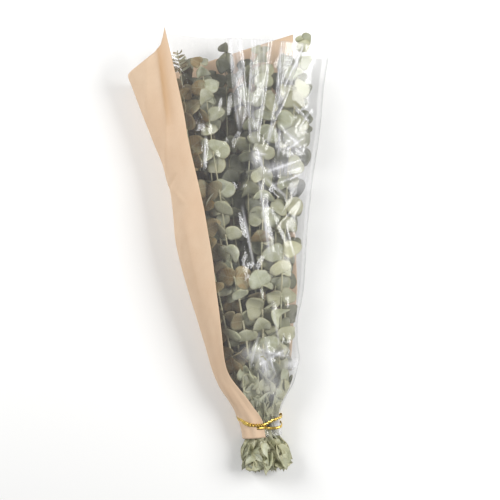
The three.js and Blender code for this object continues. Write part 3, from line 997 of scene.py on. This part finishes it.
def paper_painted_shade(x, y):
    """How much painted shade the paper gets: thinly along its creases, and widest beside the wing's crease.
    """
    strength, aside = PAPER_CREASES[0].reach(x, y)
    wide_painted_shade = 0.6 * strength * np.exp(-((aside / np.where(aside < 0, 10, 3)) ** 2))
    return np.clip(0.07 * sum(crease.mark(x, y, 1.6) for crease in PAPER_CREASES) + wide_painted_shade, 0, 0.8)


def paper_relief(x, y, z):
    """Kraft paper: stiff, so nearly flat, with a few long soft creases and a crushed spot at the left."""
    creases = sum(crease.rise(x, y) for crease in PAPER_CREASES)
    return creases + 0.7 * ripple(x + z, y, 90, 3) + gathers(x, y, 6, 0.8, 26)


# Flat folds that open to the film's top edge.
BANDS = [
    Band([(436, 7), (467, 4.6), (562, 5)], [(436, 7.5), (467, 22), (562, 22)], 5),
    Band(
        [(412, 30), (427, 22), (468, 23), (562, 39)],
        [(412, 33), (434, 36), (458, 42), (491, 51), (548, 62.5), (590, 70)],
        7,
    ),
    Band([(405, 43), (449, 56), (487, 67), (561, 81)], [(405, 45), (449, 61), (471, 76), (561, 116)], 6, 0.8),
]

FILM_CREASES = [
    Crease((-50, 384), (-43, 434), 4, 4.5),
    Crease((75, 489), (114, 554), 5, 3.5),
    Crease((30, 414), (37, 372), 6, -3),
    Crease((24, 404), (44, 398), 4, 3),
    Crease((37, 372), (98, 388), 8, 4),
    Crease((37, 366), (70, 330), 8, -3),
    Crease((60, 392), (66, 440), 7, 3.5),
    Crease((66, 440), (98, 402), 7, -3),
    Crease((88, 470), (112, 440), 7, 3),
    Crease((92, 430), (118, 462), 6, -2.5),
    Crease((44, 352), (96, 366), 6, 2.4),
    Crease((72, 402), (104, 420), 6, 2.8),
    Crease((28, 370), (34, 250), 8, 3),
    Crease((0, 330), (10, 230), 9, -3),
    Crease((60, 300), (74, 225), 7, 2),
    Crease((14, 130), (26, 70), 7, 3.5),
    Crease((-6, 118), (52, 96), 7, 3),
    Crease((4, 92), (50, 112), 6, -3),
    Crease((8, 140), (-12, 84), 6, 2),
    Crease((30, 190), (36, 110), 6, 2),
]

# Spots painted white, partly as painted glare and partly as haze where the film is crushed: the middle, the
# half lengths across and along, and how white.
GLARE_AND_HAZE_SPOTS = [
    ((11, 94), (8, 18), 0.5), ((52, 86), (10, 7), 0.55), ((66, 376), (28, 9), 0.4),
    ((84, 412), (18, 20), 0.3), ((92, 352), (18, 16), 0.2), ((-8, 108), (12, 9), 0.25),
    ((24, -6), (7, 12), 0.45), ((34, 300), (5, 50), 0.25), ((29, 396), (7, 10), 0.45),
    ((30, 104), (24, 6), 0.2), ((96, 250), (9, 90), 0.12), ((20, 56), (14, 26), 0.18),
]


def film_painted_glare_and_haze(x, y):
    """How much painted white the film gets: a faint haze all over, painted highlights along its folds,
    painted reflection inside its flat bands, and spots of painted glare and haze.
    """
    total = 0.03 + sum(band.mark(x, y) for band in BANDS)
    total = total + 0.13 * sum(crease.mark(x, y, 1.5) for crease in FILM_CREASES)
    for (mid_x, mid_y), (half_x, half_y), white in GLARE_AND_HAZE_SPOTS:
        total = total + white * np.exp(-(((x - mid_x) / half_x) ** 2) - ((y - mid_y) / half_y) ** 2)
    return np.clip(total, 0, 0.9)


LAP_SLOPE = 0.6  # how fast the film may rise beside the paper's front edge
CRINKLES = 60  # small creases, strewn over the film by chance


def crinkles():
    chance = random.Random(17)
    for _ in range(CRINKLES):
        at = chance.uniform(40, 520)
        half = float(bed_width(at)) / 2
        start = (float(bed_middle(at)) + chance.uniform(-0.7, 0.8) * half, at)
        lean = chance.gauss(0, 0.5) + (start[0] / half) * 0.12
        length = chance.uniform(25, 90)
        stop = (start[0] + length * math.sin(lean), start[1] + length * math.cos(lean))
        width = chance.uniform(5, 14)
        yield Crease(start, stop, width, chance.choice((-1, 1)) * width * chance.uniform(0.1, 0.3))


def film_relief(x, y, z):
    """Film: stiff and thin, so it breaks into flat facets between sharp folds."""
    folds = sum(fold.rise(x, y) for fold in [*BANDS, *FILM_CREASES, *crinkles()])
    own = folds + 0.8 * ripple(x, y, 70, 8) + gathers(x, y, 9, 1.3, 38)
    # Where it laps under the paper's front edge it stays below the paper, and it may rise beyond.
    beyond = np.maximum(x - edge_at(FRONT_EDGE, y), 0)
    return np.minimum(own, paper_relief(x, y, z) + LAP_SLOPE * beyond)


def paper_top(share):
    """The paper's top edge: its straight back edge, the left corner, and the folded flap's tip."""
    shares = [0, 0.65, 0.75, 0.8, 0.85, 0.9, 0.94, 0.968, 0.985, 1]
    return np.interp(share, shares, [583, 527, 537, 541, 548, 557, 565, 573, 585, 599])


def film_top(share):
    return np.interp(share, [0, 0.05, 0.18, 0.31, 0.58, 0.72, 1], [590, 588, 576, 571, 555, 536, 548])


def make_sleeve():
    paper = piece(
        "kraft_paper_sheet",
        lambda bm: sheet_mesh(
            bm,
            start=lambda y: -turn_at(edge_at(BACK_EDGE, y), y),
            end=lambda y: turn_at(edge_at(FRONT_EDGE, y), y) - 2 * math.pi,
            top=paper_top,
            columns=130,
            rows=210,
            inset=0.0,
            relief=paper_relief,
            paint_light_and_haze=paper_painted_shade,
        ),
        kraft(),
        "kraft_paper",
        "kraft_paper",
    )
    thickened(paper, PAPER_THICKNESS)
    film = piece(
        "clear_film_sheet",
        lambda bm: sheet_mesh(
            bm,
            start=lambda y: turn_at(edge_at(FRONT_EDGE, y) - SEAM_LAP, y),
            end=lambda y: -turn_at(edge_at(BACK_EDGE, y) - SEAM_LAP, y),
            top=film_top,
            columns=190,
            rows=235,
            inset=FILM_INSET,
            relief=film_relief,
            paint_light_and_haze=film_painted_glare_and_haze,
        ),
        clear_wrap(),
        "clear_film",
        "clear_film",
    )
    thickened(film, FILM_THICKNESS)


# ---- The twist tie ----

# The strands' courses: pairs of degrees, from the right edge round under the neck, and station.
UPPER_COURSE = [
    (-95, -2), (-60, 5), (-20, 7.5), (20, 8), (90, 9), (150, 11), (200, 12.5), (245, 3), (262, -1),
]
LOWER_COURSE = [
    (-95, -5), (-60, -7.5), (-20, -7), (20, -4), (90, 2), (150, 8), (200, 9), (245, 1), (262, -1.5),
]
UPPER_LIFT, LOWER_LIFT = 0.8, 0.3  # of the strands off the sleeve's skin
WIRE_BULGE = 2.8  # of the strip over its wire, in thicknesses
TWIST_START, TWIST_END = -22, 4  # X of the twisted ends
TWIST_COURSE = [(0, 2.5), (0.3, 0.5), (0.8, -1), (1, -4)]  # shares of the way, and stations
TWIST_TURNS = 3
TWIST_RADIUS = 0.8
TWIST_LIFT = 2.4
TWISTED_WIDTH_SHARE = 1 / 1.3  # of the strip's width, where it is twisted


def strand_mesh(bm, course, lift):
    degrees = np.linspace(course[0][0], course[-1][0], 90)
    heights = through(course, degrees)
    turns = -np.radians(degrees)
    x, z = sleeve(heights, turns, -lift)
    bed_x, bed_z = sleeve(heights, turns, 6)
    route = in_place(x, heights, z)
    up = np.stack([x - bed_x, heights * 0, z - bed_z], axis=-1)
    half, thin = TIE_WIDTH / 2000, TIE_THICKNESS / 1000
    section = [
        (-half, 0), (-half * 0.3, 0), (half * 0.3, 0), (half, 0), (half, thin),
        (half * 0.3, thin), (0, thin * WIRE_BULGE), (-half * 0.3, thin), (-half, thin),
    ]
    sweep(bm, frames_along(route, [tuple(u) for u in up]), section)


def twisted_mesh(bm, phase):
    steps = np.linspace(0, 1, 60)
    x = lerp(TWIST_START, TWIST_END, steps)
    y = through(TWIST_COURSE, steps)
    _, z = sleeve(y * 0, turn_at(x, y * 0), -TWIST_LIFT)
    angle = phase + steps * 2 * math.pi * TWIST_TURNS
    route = in_place(x, y + TWIST_RADIUS * np.cos(angle), z + TWIST_RADIUS * np.sin(angle))
    half, thin = TIE_WIDTH * TWISTED_WIDTH_SHARE / 2000, TIE_THICKNESS / 1000
    section = [(-half, -thin), (half, -thin), (half, thin), (-half, thin)]
    sweep(bm, frames_along(route, (0, 0, 1), twists=list(angle)), section)


def make_tie():
    """A gold strip taken twice round the neck. Its two strands part at the right of the front and are
    twisted together across the left of it."""
    gold = gold_strip()
    parts = {
        "twist_tie_upper": lambda bm: strand_mesh(bm, UPPER_COURSE, UPPER_LIFT),
        "twist_tie_lower": lambda bm: strand_mesh(bm, LOWER_COURSE, LOWER_LIFT),
        "twist_tie_end_1": lambda bm: twisted_mesh(bm, 0),
        "twist_tie_end_2": lambda bm: twisted_mesh(bm, math.pi),
    }
    for name, mesh_maker in parts.items():
        piece(name, mesh_maker, gold, "gold_tie", "twist_tie")


# ---- Studio ----

LIGHT_SIDE = 0.9  # metres
LIGHT_AIM = Vector((0, 0, 0.05))
SKY_STRENGTH = 0.33
FLOOR_SIZE = 6
FILM_LAYERS = 64  # that sight may pass through where the film is folded


def soft_light(name, place, power):
    lamp = bpy.data.lights.new(name, "AREA")
    lamp.size = LIGHT_SIDE
    lamp.energy = power
    light = bpy.data.objects.new(name, lamp)
    light.location = place
    light.rotation_euler = (LIGHT_AIM - Vector(place)).to_track_quat("-Z", "Y").to_euler()
    bpy.context.scene.collection.objects.link(light)


def set_studio():
    scene = bpy.context.scene
    bm = bmesh.new()
    bmesh.ops.create_grid(bm, x_segments=1, y_segments=1, size=FLOOR_SIZE)
    mesh = bpy.data.meshes.new("floor")
    bm.to_mesh(mesh)
    bm.free()
    mesh.materials.append(pale_floor())
    floor = bpy.data.objects.new("floor", mesh)
    scene.collection.objects.link(floor)

    soft_light("key", (1.2, 0.05, 1.15), 23)
    soft_light("fill", (-1.15, 0.75, 1.15), 19.5)
    scene.world = bpy.data.worlds.new("studio")
    scene.world.use_nodes = True
    sky = scene.world.node_tree.nodes["Background"]
    sky.inputs["Color"].default_value = (1, 1, 1, 1)
    sky.inputs["Strength"].default_value = SKY_STRENGTH
    scene.view_settings.view_transform = "Standard"
    scene.cycles.transparent_max_bounces = FILM_LAYERS


make_branches()
make_sleeve()
make_tie()
set_studio()
